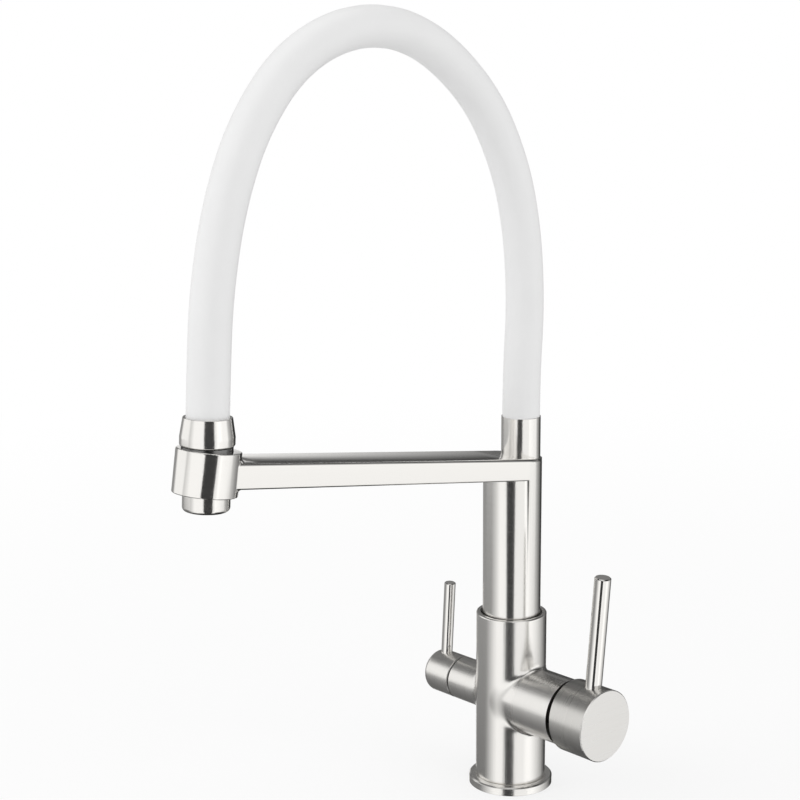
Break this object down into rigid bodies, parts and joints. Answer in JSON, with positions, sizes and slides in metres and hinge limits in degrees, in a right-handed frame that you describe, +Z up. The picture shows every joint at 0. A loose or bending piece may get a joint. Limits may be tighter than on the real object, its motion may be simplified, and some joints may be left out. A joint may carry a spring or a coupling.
{
  "type": "kitchen mixer tap",
  "caption": "Single-hole kitchen mixer tap with a swivelling arm, an arched silicone-sleeved hose, a spray head held in a ring, and lever handles for mixed and filtered water.",
  "frame": {"origin": "centre of the base, on the worktop", "axes": "+Z up; the spout arm reaches along -Y from the swivel axis at +Z, the mixer handle is on +X and the filtered water handle on -X"},
  "size_m": [0.1407, 0.2619, 0.4585],
  "materials": {
    "brushed_nickel": "fine brushed nickel plate on cast brass, satin",
    "polished_steel": "polished, mirror bright",
    "sleeve_silicone": "smooth matt light grey silicone",
    "seal_rubber": "black nitrile rubber",
    "raw_brass": "machined, unplated",
    "black_acetal": "moulded, matt",
    "white_nylon": "moulded, matt",
    "water_hose": "smooth extruded hose",
    "ceramic": "lapped alumina ceramic",
    "stainless": "plain machined stainless steel"
  },
  "bodies": {
    "tap_body": {"base_flange": "brushed_nickel", "base_seal": "seal_rubber", "inlet_block": "raw_brass", "body_casting": "brushed_nickel", "outlet_nipples": "raw_brass", "column_bushes": "black_acetal", "slip_washer": "black_acetal", "column_screw": "stainless", "cartridge_housing": "white_nylon", "cartridge_port_seals": "seal_rubber", "fixed_disc": "ceramic", "cartridge_nut": "raw_brass", "filter_valve_seal": "seal_rubber", "filter_headpart": "raw_brass", "filter_fixed_disc": "ceramic", "gland_nut": "raw_brass"},
    "spout": {"spout_arm": "brushed_nickel", "ring_liner": "black_acetal", "column_o_ring": "seal_rubber", "riser_pipe": "brushed_nickel", "hose_connector": "raw_brass", "column_mixed_hose": "water_hose", "column_filtered_hose": "water_hose", "hose_sleeve": "sleeve_silicone", "mixed_water_hose": "water_hose", "filtered_water_hose": "water_hose"},
    "hose_end": {"hose_ferrule": "brushed_nickel", "hose_tail": "raw_brass"},
    "spray_head": {"spray_barrel": "brushed_nickel", "seat_ring": "polished_steel", "aerator_housing": "black_acetal", "jet_disc": "white_nylon", "aerator_gasket": "seal_rubber"},
    "mixer_carrier": {"lever_carrier": "black_acetal", "pivot_pin": "stainless"},
    "mixing_disc": {"moving_disc": "ceramic"},
    "mixer_handle": {"cartridge_stem": "raw_brass", "mixer_knob": "brushed_nickel", "mixer_lever": "polished_steel", "mixer_knob_screw": "stainless"},
    "filter_handle": {"filter_knob": "brushed_nickel", "filter_lever": "polished_steel", "filter_spindle": "raw_brass", "filter_moving_disc": "ceramic", "filter_knob_screw": "stainless"}
  },
  "joints": [
    {"name": "column_swivel", "type": "hinge", "parent": "tap_body", "child": "spout", "pos_m": [0, 0, 0.08], "axis": [0, 0, 1], "range_deg": [-180, 180], "deforming": ["column_mixed_hose", "column_filtered_hose"]},
    {"name": "spray_head_lift", "type": "slide", "parent": "spout", "child": "hose_end", "axis": [0, 0.0541, 0.9985], "range_m": [0, 0.036], "deforming": ["hose_sleeve", "mixed_water_hose", "filtered_water_hose"]},
    {"name": "spray_head_spin", "type": "hinge", "parent": "hose_end", "child": "spray_head", "pos_m": [0, -0.2187, 0.22888], "axis": [0, 0.0541, 0.9985], "continuous": true},
    {"name": "mixer_temperature", "type": "hinge", "parent": "tap_body", "child": "mixer_carrier", "pos_m": [0.038, 0, 0.0562], "axis": [1, 0, 0], "range_deg": [-50, 50]},
    {"name": "mixer_flow", "type": "hinge", "parent": "mixer_carrier", "child": "mixer_handle", "pos_m": [0.038, 0, 0.0562], "axis": [0, 1, 0], "range_deg": [0, 20]},
    {"name": "mixing_disc_slide", "type": "slide", "parent": "mixer_carrier", "child": "mixing_disc", "axis": [0, 0, 1], "range_m": [0, 0.0032]},
    {"name": "filter_valve_turn", "type": "hinge", "parent": "tap_body", "child": "filter_handle", "pos_m": [-0.0566, 0, 0.054], "axis": [1, 0, 0], "range_deg": [0, 90]}
  ],
  "couplings": [
    {"joint": "mixing_disc_slide", "follows": "mixer_flow", "m_per_rad": 0.009}
  ]
}
